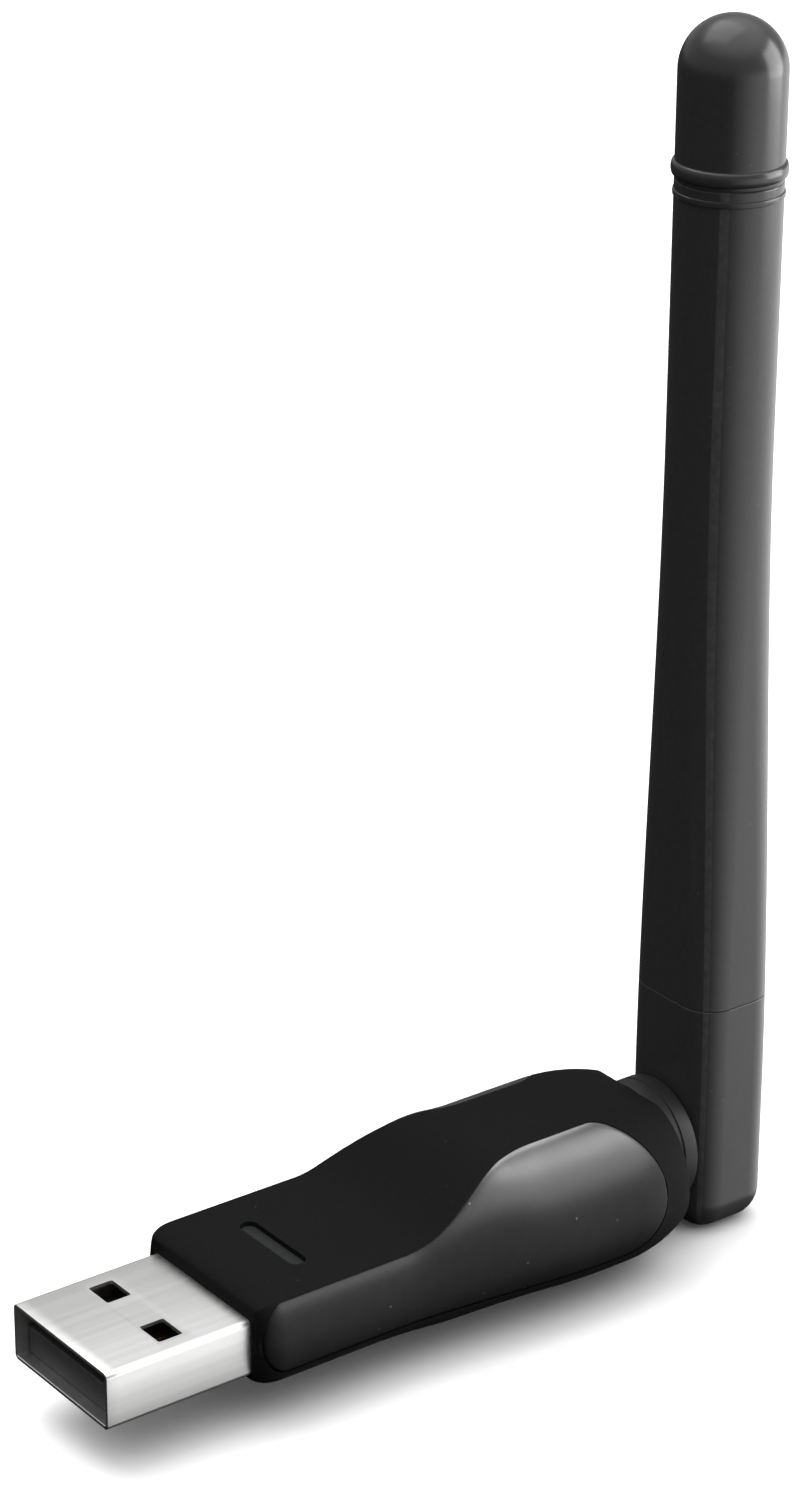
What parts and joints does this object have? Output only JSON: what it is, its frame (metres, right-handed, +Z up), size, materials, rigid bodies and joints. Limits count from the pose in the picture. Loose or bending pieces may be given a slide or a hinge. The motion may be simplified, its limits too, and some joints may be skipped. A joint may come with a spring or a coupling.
{
  "type": "usb wireless network adapter",
  "caption": "USB stick network adapter: waisted two-tone housing with a steel plug, and a tall whip antenna that swivels on its rear end.",
  "frame": {"origin": "middle of the footprint at the level of the antenna's foot, the lowest point", "axes": "+Z up along the upright antenna, -X the way the USB plug points, +Y to the left seen from the plug towards the antenna"},
  "size_m": [0.062, 0.018, 0.0939],
  "materials": {
    "plug_steel": "bright nickel-plated steel",
    "plug_plastic": "matte black nylon",
    "gold_contact": "gold plated",
    "cover_black": "fine matte black",
    "trim_gloss": "satin gloss black",
    "light_pipe": "frosted smoke",
    "board_green": "solder mask",
    "chip_black": "moulded epoxy",
    "can_metal": "plated can",
    "capacitor_tan": "fired ceramic",
    "led_white": "clear resin",
    "coax_grey": "extruded jacket",
    "washer_rubber": "silicone rubber",
    "clip_steel": "spring steel",
    "antenna_black": "smooth satin black",
    "brass": "drawn brass"
  },
  "bodies": {
    "housing": {"usb_shell": "plug_steel", "usb_tongue": "plug_plastic", "usb_contacts": "gold_contact", "upper_cover": "cover_black", "lower_cover": "cover_black", "side_trim_left": "trim_gloss", "side_trim_right": "trim_gloss", "light_pipe": "light_pipe", "circuit_board": "board_green", "wifi_chip": "chip_black", "crystal": "can_metal", "voltage_regulator": "chip_black", "power_inductor": "chip_black", "capacitors": "capacitor_tan", "resistors": "chip_black", "status_led": "led_white", "body_coax": "coax_grey", "rear_collar": "cover_black", "friction_washer": "washer_rubber"},
    "antenna": {"antenna_base": "antenna_black", "antenna_sleeve": "antenna_black", "antenna_tip": "antenna_black", "radiator_sleeve": "brass", "radiator_wire": "brass", "antenna_coax": "coax_grey", "retaining_clip": "clip_steel"}
  },
  "joints": [
    {"name": "antenna_swivel", "type": "hinge", "parent": "housing", "child": "antenna", "pos_m": [0.0215, 0, 0.0074], "axis": [1, 0, 0], "range_deg": [-90, 90]}
  ]
}
